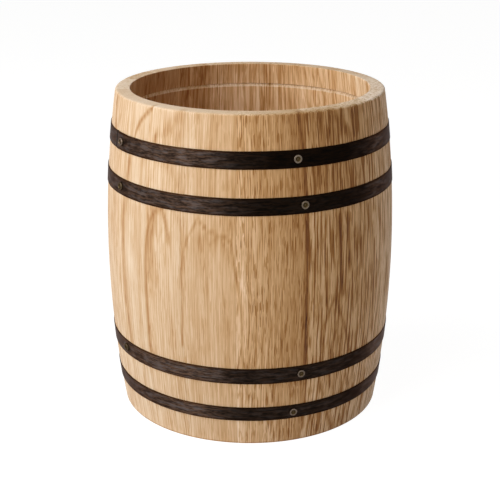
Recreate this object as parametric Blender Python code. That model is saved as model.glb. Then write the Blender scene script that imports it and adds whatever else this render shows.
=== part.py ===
"""A small oak aging barrel, open at the top and standing on its lower end.

Staves with bevelled joints stand in four riveted steel hoops. A bottom head of dowelled boards sits in
the lower croze, and the upper croze is empty. Lengths are in metres, +Z is up, and the origin is the
middle of the base. An azimuth is in degrees, from the front (-Y) towards the right (+X).
"""

import math
from collections import namedtuple

import bmesh
import bpy
from mathutils import Matrix, Vector

# Overall shape
HEIGHT = 0.250
BILGE_RADIUS = 0.1116
BULGE = 0.00975

# Staves, whose widths are shares of half a turn and repeat on the other half
STAVE_THICKNESS = 0.0111
STAVE_WIDTHS = (14.0, 16.9, 21.1, 26.6, 18.4, 16.7, 18.4, 24.0, 23.9)
FIRST_JOINT_AZIMUTH = -57.0
JOINT_GAP = 0.0003
RIM_ARRIS = 0.0020
BASE_ARRIS = 0.0006

# Croze grooves, one near each end of the staves: square on the side of that end, sloping on the other
CROZE_FROM_END = 0.0167
CROZE_DEPTH = 0.0016
CROZE_MOUTH = 0.0027
CROZE_FLOOR = 0.0005

# Bottom head, whose board widths are shares of its diameter
HEAD_THICKNESS = 0.010
HEAD_CLEARANCE = 0.0005
HEAD_SEAT_GAP = 0.0003
BOARD_WIDTHS = (34.0, 41.0, 38.0, 42.0, 33.0)
DOWEL_RADIUS = 0.0025
DOWEL_LENGTH = 0.020
DOWEL_FROM_MIDDLE = 0.040
DOWEL_CLEARANCE = 0.0003

# Hoops, each from the middle of the strip to the nearest end of the staves
TOP_HEAD_HOOP_FROM_RIM = 0.0312
TOP_BILGE_HOOP_FROM_RIM = 0.0636
BASE_BILGE_HOOP_FROM_BASE = 0.0581
BASE_HEAD_HOOP_FROM_BASE = 0.0262
HOOP_WIDTH = 0.0125
BASE_HEAD_HOOP_WIDTH = 0.0115
HOOP_THICKNESS = 0.0007
HOOP_GAP = 0.0003
HOOP_FLARE = 0.95
HOOP_LAP = 0.0190
LAP_GAP = 0.0003
JOGGLE_LENGTH = 0.006

# Rivets
RIVET_HEAD_RADIUS = 0.00315
RIVET_HEAD_HEIGHT = 0.0015
RIVET_EDGE_HEIGHT = 0.0005
RIVET_CREST_OUTER_RADIUS = 0.0026
RIVET_CREST_INNER_RADIUS = 0.0019
RIVET_DISH_RADIUS = 0.0010
RIVET_DISH_DEPTH = 0.0007
SHANK_RADIUS = 0.0012
SHANK_LENGTH = 0.0080
SEAT_GAP = 0.0003
HOLE_CLEARANCE = 0.0003

# Fineness of the round shapes
BULGE_STEPS = 10
STAVE_FACET_ANGLE = 6.0
HOOP_FACET_ANGLE = 5.6
HEAD_SIDES = 72
ROUND_SIDES = 12
SHARP_ANGLE = math.radians(30)

END_RADIUS = BILGE_RADIUS - BULGE
MIDDLE = HEIGHT / 2
BULGE_ARC_RADIUS = (MIDDLE ** 2 + BULGE ** 2) / (2 * BULGE)
HEAD_UNDERSIDE = CROZE_FROM_END + HEAD_SEAT_GAP
FULL_TURN = 360.0
HALF_TURN = 180.0
QUARTER_TURN = 90.0

# A hoop's middle is a height, its rivets are azimuths, and its lap is held by the rivet of that place
# in the list, counted from nought.
Hoop = namedtuple("Hoop", "name middle width rivets lap_rivet")
HOOPS = (
    Hoop("top_head_hoop", HEIGHT - TOP_HEAD_HOOP_FROM_RIM, HOOP_WIDTH, (17.5, -60.7, -162.5, 118.7), 1),
    Hoop("top_bilge_hoop", HEIGHT - TOP_BILGE_HOOP_FROM_RIM, HOOP_WIDTH, (20.0, -59.5, -160.0, 120.5), 2),
    Hoop("base_bilge_hoop", BASE_BILGE_HOOP_FROM_BASE, HOOP_WIDTH, (19.5, -59.8, -160.5, 120.2), 3),
    Hoop("base_head_hoop", BASE_HEAD_HOOP_FROM_BASE, BASE_HEAD_HOOP_WIDTH, (17.1, -97.0, -162.9, 103.0), 2),
)


# Helpers for places, meshes and objects

def place(radius, azimuth, height):
    """The point at this radius from the barrel's axis."""
    turn = math.radians(azimuth)
    return Vector((radius * math.sin(turn), -radius * math.cos(turn), height))


def evenly(start, end, largest_step):
    """Values from start to end, both included, no further apart than the largest step."""
    count = max(1, math.ceil(abs(end - start) / largest_step))
    return [start + (end - start) * i / count for i in range(count + 1)]


def running_joints(widths, start, total):
    """The places of the joints where pieces with these shares of the total lie side by side."""
    joints = [start]
    for width in widths:
        joints.append(joints[-1] + total * width / sum(widths))
    return joints


def skin(sections):
    """A closed mesh through loops of points, with a face over the first loop and the last."""
    mesh = bmesh.new()
    loops = [[mesh.verts.new(point) for point in section] for section in sections]
    for near, far in zip(loops, loops[1:]):
        for i in range(len(near)):
            mesh.faces.new((near[i - 1], near[i], far[i], far[i - 1]))
    mesh.faces.new(loops[0])
    mesh.faces.new(loops[-1])
    bmesh.ops.recalc_face_normals(mesh, faces=mesh.faces)
    return mesh


def turned(outline, sides):
    """A closed mesh turned about Z from (radius, height) points."""
    azimuths = [FULL_TURN * i / sides for i in range(sides)]
    return skin([[place(radius, azimuth, height) for azimuth in azimuths] for radius, height in outline])


def material(name, colour, roughness, metallic):
    made = bpy.data.materials.new(name)
    made.use_nodes = True
    shader = made.node_tree.nodes["Principled BSDF"]
    shader.inputs["Base Color"].default_value = (*colour, 1.0)
    shader.inputs["Roughness"].default_value = roughness
    shader.inputs["Metallic"].default_value = metallic
    return made


def make_object(name, mesh, finish):
    """Turns an edit mesh into an object of this name and finish, smooth but for its sharp edges."""
    data = bpy.data.meshes.new(name)
    mesh.to_mesh(data)
    mesh.free()
    data.shade_smooth()
    data.set_sharp_from_angle(angle=SHARP_ANGLE)
    data.materials.append(finish)
    made = bpy.data.objects.new(name, data)
    bpy.context.collection.objects.link(made)
    return made


def make_cutter(name, mesh, matrix, finish):
    """A helper that cuts holes and isn't part of the barrel."""
    cutter = make_object(name, mesh, finish)
    cutter.matrix_world = matrix
    cutter.hide_render = True
    cutter.display_type = "WIRE"
    return cutter


def cut(target, cutter):
    modifier = target.modifiers.new(cutter.name, "BOOLEAN")
    modifier.operation = "DIFFERENCE"
    modifier.solver = "EXACT"
    modifier.object = cutter


# Stave faces

def outer_radius(height):
    """The staves' outer faces bulge in one arc from end to end."""
    return BILGE_RADIUS - BULGE_ARC_RADIUS + math.sqrt(BULGE_ARC_RADIUS ** 2 - (height - MIDDLE) ** 2)


def inner_radius(height):
    return outer_radius(height) - STAVE_THICKNESS


def arris(size, end_height, inward):
    """A rounded outer corner of a stave end, in half quarter turns from the outer face to the end face.

    The value inward is 1 at the base, where the stave lies above its end, and -1 at the rim.
    """
    centre_height = end_height + inward * size
    centre_radius = outer_radius(centre_height) - size
    turns = [math.radians(angle) for angle in evenly(0.0, QUARTER_TURN, QUARTER_TURN / 2)]
    return [
        (centre_radius + size * math.cos(turn), centre_height - inward * size * math.sin(turn))
        for turn in turns
    ]


def croze(end_height, inward):
    """The corners of a croze groove, from its square side to the lip of its slope, inward as in arris."""
    square = end_height + inward * CROZE_FROM_END
    slope_start = square + inward * CROZE_FLOOR
    slope_end = square + inward * CROZE_MOUTH
    floor_radius = inner_radius(square) + CROZE_DEPTH
    return [
        (inner_radius(square), square),
        (floor_radius, square),
        (floor_radius, slope_start),
        (inner_radius(slope_end), slope_end),
    ]


def stave_outline():
    """A stave's lengthwise section as (radius, height), up its outer face and down its inner one."""
    step = HEIGHT / BULGE_STEPS
    outer = evenly(BASE_ARRIS, HEIGHT - RIM_ARRIS, step)[1:-1]
    top_croze = croze(HEIGHT, -1)
    base_croze = croze(0.0, 1)[::-1]
    inner = evenly(top_croze[-1][1], base_croze[0][1], step)[1:-1]
    return (
        arris(BASE_ARRIS, 0.0, 1)[::-1]
        + [(outer_radius(height), height) for height in outer]
        + arris(RIM_ARRIS, HEIGHT, -1)
        + [(inner_radius(HEIGHT), HEIGHT)]
        + top_croze
        + [(inner_radius(height), height) for height in inner]
        + base_croze
        + [(inner_radius(0.0), 0.0)]
    )


# Staves

def stave_joints():
    half = running_joints(STAVE_WIDTHS, FIRST_JOINT_AZIMUTH, HALF_TURN)
    return half + [joint + HALF_TURN for joint in half[1:]]


def stave_section(outline, azimuth, inset):
    """The outline at one azimuth, moved sideways by the inset, so that a joint's faces are parallel."""
    return [
        place(radius, azimuth + math.degrees(math.asin(inset / radius)), height)
        for radius, height in outline
    ]


def make_stave(name, left, right, finish):
    """One stave between two joints, each face half a joint gap inside its joint."""
    outline = stave_outline()
    azimuths = evenly(left, right, STAVE_FACET_ANGLE)
    insets = [JOINT_GAP / 2] + [0.0] * (len(azimuths) - 2) + [-JOINT_GAP / 2]
    sections = [stave_section(outline, azimuth, inset) for azimuth, inset in zip(azimuths, insets)]
    return make_object(name, skin(sections), finish)


def staves_at(joints, staves, azimuth, half_width):
    """The staves that reach within half a width of this azimuth: two where it is near a joint."""
    margin = math.degrees(half_width / END_RADIUS)
    return [
        stave
        for left, right, stave in zip(joints, joints[1:], staves)
        if (azimuth + margin - left) % FULL_TURN <= right - left + 2 * margin
    ]


# Hoops

def hoop_slope(hoop):
    """The growth of the strip's radius with height, which is a little less than the wood's."""
    lower = outer_radius(hoop.middle - hoop.width / 2)
    upper = outer_radius(hoop.middle + hoop.width / 2)
    return HOOP_FLARE * (upper - lower) / hoop.width


def hoop_radius(hoop, height):
    """The inner radius of the strip, which is tight on the wood at the edge nearest the bilge."""
    tight = hoop.middle + math.copysign(hoop.width / 2, MIDDLE - hoop.middle)
    return outer_radius(tight) + HOOP_GAP + hoop_slope(hoop) * (height - tight)


def hoop_section(hoop, azimuth, lift):
    """The strip's four corners at one azimuth, lifted off the wood where it laps over its other end."""
    lower = hoop.middle - hoop.width / 2
    upper = hoop.middle + hoop.width / 2
    corners = (
        (lower, 0.0),
        (lower, HOOP_THICKNESS),
        (upper, HOOP_THICKNESS),
        (upper, 0.0),
    )
    return [place(hoop_radius(hoop, height) + lift + out, azimuth, height) for height, out in corners]


def make_hoop(hoop, finish):
    """A strip that goes once round and on under its own start, which lies lifted over the end."""
    degree_length = math.radians(1) * hoop_radius(hoop, hoop.middle)
    lap = HOOP_LAP / degree_length
    lifted = (HOOP_LAP + LAP_GAP) / degree_length
    seated = (HOOP_LAP + LAP_GAP + JOGGLE_LENGTH) / degree_length
    full_lift = HOOP_THICKNESS + LAP_GAP
    over = [(turn, full_lift) for turn in evenly(0.0, lifted, HOOP_FACET_ANGLE)]
    under = [(turn, 0.0) for turn in evenly(seated, FULL_TURN + lap, HOOP_FACET_ANGLE)]
    start = hoop.rivets[hoop.lap_rivet] - lap / 2
    sections = [hoop_section(hoop, start + turn, lift) for turn, lift in over + under]
    return make_object(hoop.name, skin(sections), finish)


# Rivets

def rivet_matrix(hoop, azimuth, lapped):
    """The frame of a rivet, with its origin on the strip's outer face and Z square to that face."""
    layers = HOOP_THICKNESS + (HOOP_THICKNESS + LAP_GAP if lapped else 0.0)
    seat = place(hoop_radius(hoop, hoop.middle) + layers, azimuth, hoop.middle)
    outwards = place(1.0, azimuth, -hoop_slope(hoop))
    return Matrix.Translation(seat) @ outwards.to_track_quat("Z", "Y").to_matrix().to_4x4()


def rivet_outline():
    """From the end of the shank up to the head's crest and into its dish."""
    crest = SEAT_GAP + RIVET_HEAD_HEIGHT
    return (
        (SHANK_RADIUS, -SHANK_LENGTH),
        (SHANK_RADIUS, SEAT_GAP),
        (RIVET_HEAD_RADIUS, SEAT_GAP),
        (RIVET_HEAD_RADIUS, SEAT_GAP + RIVET_EDGE_HEIGHT),
        (RIVET_CREST_OUTER_RADIUS, crest),
        (RIVET_CREST_INNER_RADIUS, crest),
        (RIVET_DISH_RADIUS, crest - RIVET_DISH_DEPTH),
    )


def rivet_hole_outline():
    """A hole round the shank, from its blind end in the stave out past the rivet's head."""
    radius = SHANK_RADIUS + HOLE_CLEARANCE
    return (
        (radius, -SHANK_LENGTH - HOLE_CLEARANCE),
        (radius, SEAT_GAP + RIVET_HEAD_HEIGHT),
    )


def make_rivet(name, matrix, finish):
    rivet = make_object(name, turned(rivet_outline(), ROUND_SIDES), finish)
    rivet.matrix_world = matrix
    return rivet


# Bottom head

def head_outline():
    """The head's half section, flat below, with a bevel above that runs parallel to the croze's slope."""
    floor_radius = inner_radius(CROZE_FROM_END) + CROZE_DEPTH
    nose = floor_radius - HEAD_CLEARANCE
    bevel_start = CROZE_FROM_END + CROZE_FLOOR
    slope_run = floor_radius - inner_radius(CROZE_FROM_END + CROZE_MOUTH)
    slope = slope_run / (CROZE_MOUTH - CROZE_FLOOR)
    upper = HEAD_UNDERSIDE + HEAD_THICKNESS
    face = nose - slope * (upper - bevel_start)
    return ((nose, HEAD_UNDERSIDE), (nose, bevel_start), (face, upper)), nose


def make_board(name, left, right, finish):
    """The slice of the round head between two joints, each face half a joint gap inside its joint."""
    outline, _ = head_outline()
    mesh = turned(outline, HEAD_SIDES)
    for joint, keep in ((left + JOINT_GAP / 2, 1), (right - JOINT_GAP / 2, -1)):
        bmesh.ops.bisect_plane(
            mesh,
            geom=mesh.verts[:] + mesh.edges[:] + mesh.faces[:],
            plane_co=(joint, 0.0, 0.0),
            plane_no=(keep, 0.0, 0.0),
            clear_inner=True,
        )
        bmesh.ops.edgeloop_fill(mesh, edges=[edge for edge in mesh.edges if edge.is_boundary])
    bmesh.ops.recalc_face_normals(mesh, faces=mesh.faces)
    return make_object(name, mesh, finish)


def cylinder_outline(radius, length):
    return ((radius, -length / 2), (radius, length / 2))


def make_head(board_finish, dowel_finish):
    """Boards side by side across the head, held flush by two dowels in each joint."""
    _, nose = head_outline()
    joints = running_joints(BOARD_WIDTHS, -nose, 2 * nose)
    boards = [
        make_board(f"head_board_{i + 1}", left, right, board_finish)
        for i, (left, right) in enumerate(zip(joints, joints[1:]))
    ]
    along_x = Matrix.Rotation(math.radians(QUARTER_TURN), 4, "Y")
    number = 0
    for i, joint in enumerate(joints[1:-1]):
        for side in (-1, 1):
            number += 1
            middle = Vector((joint, side * DOWEL_FROM_MIDDLE, HEAD_UNDERSIDE + HEAD_THICKNESS / 2))
            matrix = Matrix.Translation(middle) @ along_x
            dowel_mesh = turned(cylinder_outline(DOWEL_RADIUS, DOWEL_LENGTH), ROUND_SIDES)
            dowel = make_object(f"head_dowel_{number}", dowel_mesh, dowel_finish)
            dowel.matrix_world = matrix
            hole = cylinder_outline(DOWEL_RADIUS + DOWEL_CLEARANCE, DOWEL_LENGTH + 2 * DOWEL_CLEARANCE)
            hole_mesh = turned(hole, ROUND_SIDES)
            cutter = make_cutter(f"dowel_hole_{number}", hole_mesh, matrix, dowel_finish)
            cut(boards[i], cutter)
            cut(boards[i + 1], cutter)


# Assembly

def make_staves(finish):
    joints = stave_joints()
    staves = [
        make_stave(f"stave_{i + 1:02d}", left, right, finish)
        for i, (left, right) in enumerate(zip(joints, joints[1:]))
    ]
    return joints, staves


def make_hoops(joints, staves, hoop_finish, rivet_finish):
    """The hoops and their rivets, each in one hole through the strip and on into a stave."""
    for hoop in HOOPS:
        strip = make_hoop(hoop, hoop_finish)
        for i, azimuth in enumerate(hoop.rivets):
            matrix = rivet_matrix(hoop, azimuth, i == hoop.lap_rivet)
            make_rivet(f"{hoop.name}_rivet_{i + 1}", matrix, rivet_finish)
            hole_mesh = turned(rivet_hole_outline(), ROUND_SIDES)
            cutter = make_cutter(f"{hoop.name}_hole_{i + 1}", hole_mesh, matrix, rivet_finish)
            cut(strip, cutter)
            for stave in staves_at(joints, staves, azimuth, SHANK_RADIUS + HOLE_CLEARANCE):
                cut(stave, cutter)


def main():
    for existing in list(bpy.data.objects):
        bpy.data.objects.remove(existing)
    oak = material("oak", (0.56, 0.36, 0.20), 0.62, 0.0)
    head_oak = material("head_oak", (0.50, 0.31, 0.17), 0.66, 0.0)
    dowel_wood = material("dowel_wood", (0.62, 0.45, 0.28), 0.60, 0.0)
    hoop_steel = material("hoop_steel", (0.035, 0.028, 0.026), 0.48, 0.85)
    aged_brass = material("aged_brass", (0.42, 0.34, 0.24), 0.38, 0.95)
    joints, staves = make_staves(oak)
    make_hoops(joints, staves, hoop_steel, aged_brass)
    make_head(head_oak, dowel_wood)


main()
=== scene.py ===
"""The looks of a small oak barrel, open at the top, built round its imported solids.

Lengths are in metres and +Z is up. An azimuth is in degrees, from the front (-Y) towards the right (+X).
"""

import math
import random
from collections import namedtuple

import bpy
import numpy as np
from mathutils import Matrix, Vector, noise


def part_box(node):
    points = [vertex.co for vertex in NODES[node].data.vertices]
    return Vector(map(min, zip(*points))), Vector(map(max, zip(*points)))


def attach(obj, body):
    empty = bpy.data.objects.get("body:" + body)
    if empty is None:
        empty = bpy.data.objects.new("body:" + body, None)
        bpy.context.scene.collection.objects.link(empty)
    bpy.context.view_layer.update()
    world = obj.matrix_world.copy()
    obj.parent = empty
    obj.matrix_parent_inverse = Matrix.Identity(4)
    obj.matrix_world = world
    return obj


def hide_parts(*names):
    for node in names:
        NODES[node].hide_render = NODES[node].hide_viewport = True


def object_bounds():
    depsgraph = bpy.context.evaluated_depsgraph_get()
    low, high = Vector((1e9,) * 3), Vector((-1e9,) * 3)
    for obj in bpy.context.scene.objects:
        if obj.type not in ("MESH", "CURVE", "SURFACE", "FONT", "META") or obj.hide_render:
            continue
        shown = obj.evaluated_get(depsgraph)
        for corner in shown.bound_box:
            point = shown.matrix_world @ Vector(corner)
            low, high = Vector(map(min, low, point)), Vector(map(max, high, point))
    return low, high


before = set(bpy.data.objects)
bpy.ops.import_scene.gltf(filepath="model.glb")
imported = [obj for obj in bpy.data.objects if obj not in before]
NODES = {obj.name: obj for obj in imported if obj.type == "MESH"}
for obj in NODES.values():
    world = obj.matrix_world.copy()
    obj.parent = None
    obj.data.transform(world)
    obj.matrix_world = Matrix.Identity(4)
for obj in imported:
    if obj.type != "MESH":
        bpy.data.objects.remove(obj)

# The solids that the pieces stand for
CAD_LOW, CAD_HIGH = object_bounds()
BODY = "root"
HEIGHT = CAD_HIGH.z - CAD_LOW.z
MIDDLE = HEIGHT / 2
STAVE_COUNT = sum(name.startswith("stave_") for name in NODES)
HOOP_NAMES = ("top_head_hoop", "top_bilge_hoop", "base_bilge_hoop", "base_head_hoop")
LAP_RIVETS = {"top_head_hoop": 2, "top_bilge_hoop": 3, "base_bilge_hoop": 4, "base_head_hoop": 3}
RIVETS_ON_A_HOOP = 4

# Staves
BULGE = 0.00975
STAVE_THICKNESS = 0.0111
JOINT_GAP = 0.00003
RIM_ARRIS = 0.0020
BASE_ARRIS = 0.0006
INNER_ARRIS = 0.00035
JOINT_ARRIS = 0.00011
STAVE_UNEVENNESS = 0.00008

# Croze grooves: square on the side of the stave's end, sloping on the other
CROZE_FROM_END = 0.0167
CROZE_DEPTH = 0.0016
CROZE_MOUTH = 0.0027
CROZE_FLOOR = 0.0005

# The empty upper croze is worn softer
WORN_CROZE_DEPTH = 0.0009
WORN_CROZE_FLOOR = 0.0001
# Paleness of its slope: end grain and painted light
CROZE_SLOPE_GRAIN_AND_LIGHT = 0.68
SLOPE_FADE = 0.0003

# Hoops
STRIP_THICKNESS = 0.0004
STRIP_GAP = 0.00005
STRIP_FLARE = 0.95
STRIP_ARRIS = 0.00014
STRIP_CORNER_SHARE = 0.3
STRIP_WANDER = 0.00014
STRIP_FACE_WANDER = 0.000056
HOOP_LAP = 0.0190
JOGGLE_LENGTH = 0.005
END_CORNER = 0.0009
END_CORNER_STEPS = (0.0, 1 / 3, 1.0)
# Reach of the dirt and painted shade by a lap's end
END_DIRT_AND_SHADE = 0.0013

# Rivets
RIVET_HEAD_RADIUS = 0.00315
RIVET_HEAD_HEIGHT = 0.0015
RIVET_EDGE_HEIGHT = 0.0005
RIVET_CREST_RADIUS = 0.00225
RIVET_DISH_RADIUS = 0.0010
RIVET_DISH_DEPTH = 0.0007
PEEN_RADIUS = 0.0007
PEEN_HEIGHT = 0.00025
RIVET_SHANK_RADIUS = 0.0012
RIVET_SHANK_LENGTH = 0.004

# Bottom head
BOARD_ARRIS = 0.0004
BOARD_ARRIS_STEPS = 2

# Camera, found from the photograph
CAMERA_SENSOR = 36.0
CAMERA_LENS = 83.89
CAMERA_CLIP_START = 0.01
CAMERA_DISTANCE = 0.8754
CAMERA_HEIGHT = 0.42226
CAMERA_PITCH = 19.199

# Lamps as (name, azimuth, elevation, distance, size, level, tint), and the sky
LAMPS = (
    ("key", -62.0, 38.0, 1.3, 1.4, 1.22, (1.0, 0.985, 0.96)),
    ("fill", 25.0, 30.0, 1.6, 1.2, 0.17, (1.0, 0.95, 0.88)),
)
SKY_LEVEL = 0.10
SKY_TINT = (1.0, 0.97, 0.93)

# Floor
FLOOR_SIZE = 8.0
FLOOR_DROP = 0.0001
FLOOR_WHITE = 0.75
FLOOR_SHADE = 0.20
FLOOR_GLOW = 0.95

# Fineness of the meshes
ROW_HEIGHT = 0.0030
COLUMN_ANGLE = 0.5
ARC_STEPS = 5
RIM_ROWS = 4
STRIP_ANGLE = 1.5
STRIP_ROWS = 8
RIVET_SIDES = 40
RIVET_MIDDLE = RIVET_HEAD_RADIUS / 12
RIVET_STEP = RIVET_HEAD_RADIUS / 14
SHARP_ANGLE = math.radians(28)
STEP_SLACK = 1e-9

FULL_TURN = 360.0
HALF_TURN = 180.0
QUARTER_TURN = 90.0


# Places and profiles

def place(radius, azimuth, height):
    turn = math.radians(azimuth)
    return Vector((radius * math.sin(turn), -radius * math.cos(turn), height))


def points_of(name):
    return np.array([vertex.co for vertex in NODES[name].data.vertices])


def azimuths_of(points):
    return np.degrees(np.arctan2(points[:, 0], -points[:, 1]))


def middle_azimuth(name):
    """The azimuth of a node's middle, from its own lowest and highest corners."""
    low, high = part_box(name)
    middle = (low + high) / 2
    return math.degrees(math.atan2(middle.x, -middle.y))


def stave_names():
    return [f"stave_{i + 1:02d}" for i in range(STAVE_COUNT)]


# The least reach of the solids' box, so that the round faces stay inside it
BILGE_RADIUS = min(-CAD_LOW.x, -CAD_LOW.y, CAD_HIGH.x, CAD_HIGH.y)
BULGE_ARC_RADIUS = (MIDDLE ** 2 + BULGE ** 2) / (2 * BULGE)


def outer_radius(height):
    """The staves' outer faces bulge in one arc from end to end."""
    return BILGE_RADIUS - BULGE_ARC_RADIUS + math.sqrt(BULGE_ARC_RADIUS ** 2 - (height - MIDDLE) ** 2)


def inner_radius(height):
    return outer_radius(height) - STAVE_THICKNESS


def evenly(start, end, largest_step):
    count = max(1, math.ceil(abs(end - start) / largest_step - STEP_SLACK))
    return [start + (end - start) * i / count for i in range(count + 1)]


def softly(value, ease):
    """Nought below zero and the value itself above, with an eased bend between."""
    return ease * np.logaddexp(0.0, value / ease)


def at_stops(stops, where):
    """What the stops, as (place, value), give in between at each place."""
    return np.interp(where, *zip(*stops))


# Meshes and pieces

def skinned(sections):
    """Corner points and faces of a skin over loops of points, with a face over each end."""
    sections = np.array(sections, float)
    count, size, _ = sections.shape
    corners = sections.reshape(-1, 3)
    faces = []
    for near in range(0, (count - 1) * size, size):
        for i in range(size):
            following = (i + 1) % size
            faces.append((near + i, near + following, near + size + following, near + size + i))
    faces.append(tuple(reversed(range(size))))
    faces.append(tuple(range((count - 1) * size, count * size)))
    return corners, faces


def make_piece(name, corners, faces, finish, stands_for, attributes=None):
    """A smooth object with sharp corners that rides on the barrel and stands for one of its solids."""
    data = bpy.data.meshes.new(name)
    data.from_pydata([tuple(corner) for corner in corners], [], faces)
    data.shade_smooth()
    data.set_sharp_from_angle(angle=SHARP_ANGLE)
    data.materials.append(finish)
    for key, values in (attributes or {}).items():
        values = np.asarray(values, np.float32)
        kind, field = ("FLOAT_VECTOR", "vector") if values.ndim == 2 else ("FLOAT", "value")
        attribute = data.attributes.new(key, kind, "POINT")
        attribute.data.foreach_set(field, values.ravel())
    piece = bpy.data.objects.new(name, data)
    bpy.context.collection.objects.link(piece)
    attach(piece, BODY)
    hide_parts(stands_for)
    return piece


# Node trees

class Recipe:
    """The nodes of a material or a world, added one step at a time. A step gives back its output."""

    def __init__(self, owner):
        owner.use_nodes = True
        self.owner = owner
        self.nodes = owner.node_tree.nodes
        self.links = owner.node_tree.links

    def feed(self, socket, value):
        if isinstance(value, bpy.types.NodeSocket):
            self.links.new(value, socket)
        else:
            socket.default_value = value

    def feed_named(self, node, **inputs):
        """Feeds inputs by name, where specular_ior_level stands for Specular IOR Level."""
        for name, value in inputs.items():
            self.feed(node.inputs[name.replace("_", " ").title().replace("Ior", "IOR")], value)
        return node.outputs[0]

    def add(self, kind, *values, **settings):
        """The outputs of a new node with settings of its own, whose first inputs take the values."""
        node = self.nodes.new(kind)
        for name, setting in settings.items():
            setattr(node, name, setting)
        for socket, value in zip(node.inputs, values):
            self.feed(socket, value)
        return node.outputs

    def finish(self, **inputs):
        """The material, with the inputs of its surface fed."""
        self.feed_named(self.nodes["Principled BSDF"], **inputs)
        return self.owner

    def attribute(self, name, output="Fac"):
        return self.add("ShaderNodeAttribute", attribute_name=name)[output]

    def object_place(self):
        return self.add("ShaderNodeTexCoord")["Object"]

    def calc(self, operation, *values):
        return self.add("ShaderNodeMath", *values, operation=operation)[0]

    def times(self, first, second):
        return self.calc("MULTIPLY", first, second)

    def vector(self, operation, first, second):
        return self.add("ShaderNodeVectorMath", first, second, operation=operation)[0]

    def parts(self, vector):
        return self.add("ShaderNodeSeparateXYZ", vector)

    def joined(self, values):
        return self.add("ShaderNodeCombineXYZ", *values)[0]

    def deepen(self, skin, tannin, depth):
        """The colour of wood under coats of tannin, each of which leaves that share of it."""
        shares = [self.calc("POWER", share, depth) for share in self.parts(tannin)]
        return self.vector("MULTIPLY", skin, self.joined(shares))

    def total(self, weighed, start=0.0):
        """The sum of values, each times its weight, on top of the start."""
        for value, weight in weighed:
            start = self.calc("MULTIPLY_ADD", value, weight, start)
        return start

    def swing(self, value):
        """How far noise is from its middle."""
        return self.calc("SUBTRACT", value, NOISE_MIDDLE)

    def noise(self, where, cell, detail, roughness=0.5):
        """Noise from 0 to 1, with features of about one cell, which is (x, y, z) in metres."""
        node = self.nodes.new("ShaderNodeTexNoise")
        where = self.vector("DIVIDE", where, cell)
        return self.feed_named(node, vector=where, scale=1.0, detail=detail, roughness=roughness)

    def spread(self, value, low, high, to_low=0.0, to_high=1.0, smooth=True):
        """The value's way from low to high, eased and held at its ends."""
        ends = (low, high, to_low, to_high)
        way = "SMOOTHSTEP" if smooth else "LINEAR"
        return self.add("ShaderNodeMapRange", value, *ends, interpolation_type=way)[0]

    def blend(self, share, first, second):
        node = self.nodes.new("ShaderNodeMix")
        node.data_type = "RGBA"
        self.feed(node.inputs["Factor"], share)
        colours = [socket for socket in node.inputs if socket.type == "RGBA"]
        self.feed(colours[0], first)
        self.feed(colours[1], second)
        return [socket for socket in node.outputs if socket.type == "RGBA"][0]

    def bump(self, height, distance, strength):
        node = self.nodes.new("ShaderNodeBump")
        return self.feed_named(node, height=height, distance=distance, strength=strength)


def colour(red, green, blue):
    return (red, green, blue, 1.0)


def grey(level):
    return colour(level, level, level)


# Oak

PALE_OAK = colour(0.765, 0.588, 0.415)
DEEP_OAK = colour(0.765, 0.498, 0.278)
# Colours of the inside; on the staves the share between them is painted light and shade
PALE_INSIDE = colour(0.90, 0.62, 0.36)
DEEP_INSIDE = colour(0.45, 0.22, 0.080)
END_OAK = colour(0.80, 0.635, 0.468)

# What one coat of tannin leaves of the red, green and blue of pale and of deep oak
PALE_TANNIN = colour(0.70, 0.54, 0.375)
DEEP_TANNIN = colour(0.67, 0.555, 0.385)

# Noise of the features in the wood: their size across, into and along the board, and then its detail
# and its roughness
SWERVE = ((0.014, 0.014, 0.060), 1.0)
WANDER = ((0.008, 0.008, 0.070), 2.0)
JAG = ((0.0012, 0.0012, 0.030), 1.0)
STREAK = ((0.0017, 0.0017, 0.045), 1.0)
STROKE = ((0.0009, 0.0009, 0.015), 1.0)
DASH = ((0.0006, 0.0006, 0.012), 0.0)
FIBRE = ((0.0008, 0.0008, 0.035), 1.0, 0.6)
LINE = ((0.0009, 0.0009, 0.130), 0.0)
BAND = ((0.005, 0.005, 0.200), 2.0, 0.65)
PATCH = ((0.012, 0.012, 0.040), 1.0)

# How far the grain leans to and fro, in metres, and the growth rings stray, in rings
SWERVE_REACH = (0.0022, 0.0, 0.0)
WANDER_REACH = 1.2
JAG_REACH = 0.30

NOISE_MIDDLE = 0.5

# Ranges as (low, high), spread from nought to one, or with what low gives and what high gives
DASH_RANGE = (0.58, 0.66)
STROKE_RANGE = (0.565, 0.605)
STREAK_RANGE = (0.53, 0.59)
LINE_RANGE = (0.50, 0.60)

# Where the dark early wood of a growth ring sets in and where it fades, as shares of the ring
RING_ONSET = (0.0, 0.08)
RING_FADE = (0.12, 0.46, 1.0, 0.0)

# How much the fibres leave of the early wood and of a stain, and the patches of the contrast
ROW_RANGE = (0.3, 0.7, 0.3, 1.0)
STAIN_RANGE = (0.3, 0.7, 0.6, 1.1)
STROKES_IN_STAINS = 0.35
PATCH_RANGE = (0.3, 0.7, 0.5, 1.3)

# Coats of tannin in each feature
RING_DEPTH = 0.9
STREAK_DEPTH = 2.1
STROKE_DEPTH = 1.5
DASH_DEPTH = 1.1
FIBRE_DEPTH = 0.8
LINE_DEPTH = 0.36
BAND_DEPTH = 1.0
PATCH_DEPTH = 0.5

# How the inside changes the grain's strength and the coats, and the ends the strength
INSIDE_CALM = -0.25
INSIDE_COATS = -0.44
END_CALM = -0.62

# How far the colours of the inside and of the ends cover the board's own
FACE_COVER = 0.9

# Gloss, and the roughness and relief that come with the coats in the dark grain
OAK_GLOSS = 0.32
OAK_ROUGHNESS = (0.0, 1.5, 0.54, 0.70)
PORE_RELIEF = (-0.00006, 0.5)


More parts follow.
